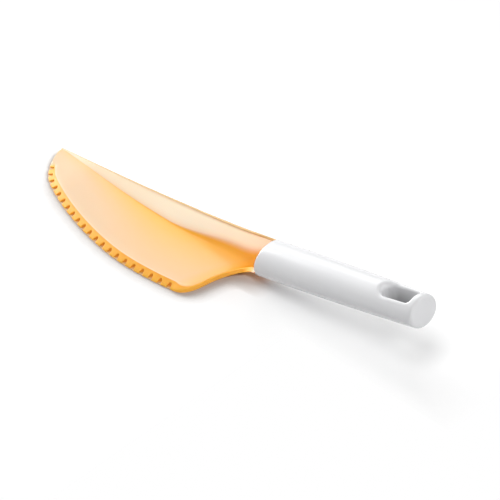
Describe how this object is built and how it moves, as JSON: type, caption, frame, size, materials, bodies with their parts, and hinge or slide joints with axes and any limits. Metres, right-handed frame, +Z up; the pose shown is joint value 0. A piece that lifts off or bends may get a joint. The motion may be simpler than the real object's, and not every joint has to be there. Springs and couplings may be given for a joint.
{
  "type": "dessert knife",
  "caption": "Plastic dessert knife with a broad serrated serving blade, a leaning back that turns into a gutter neck, and a hollow oval handle with a hanging slot.",
  "frame": {"origin": "under the middle of the knife's bounding box, on the surface that it rests on", "axes": "+X along the knife from the tip to the handle's end, +Y away from the cutting edge, +Z up"},
  "size_m": [0.284, 0.06, 0.0552],
  "materials": {
    "blade": "glossy orange plastic, slightly translucent",
    "handle": "glossy white plastic"
  },
  "bodies": {
    "root": {"blade": "blade", "handle": "handle"}
  },
  "joints": []
}
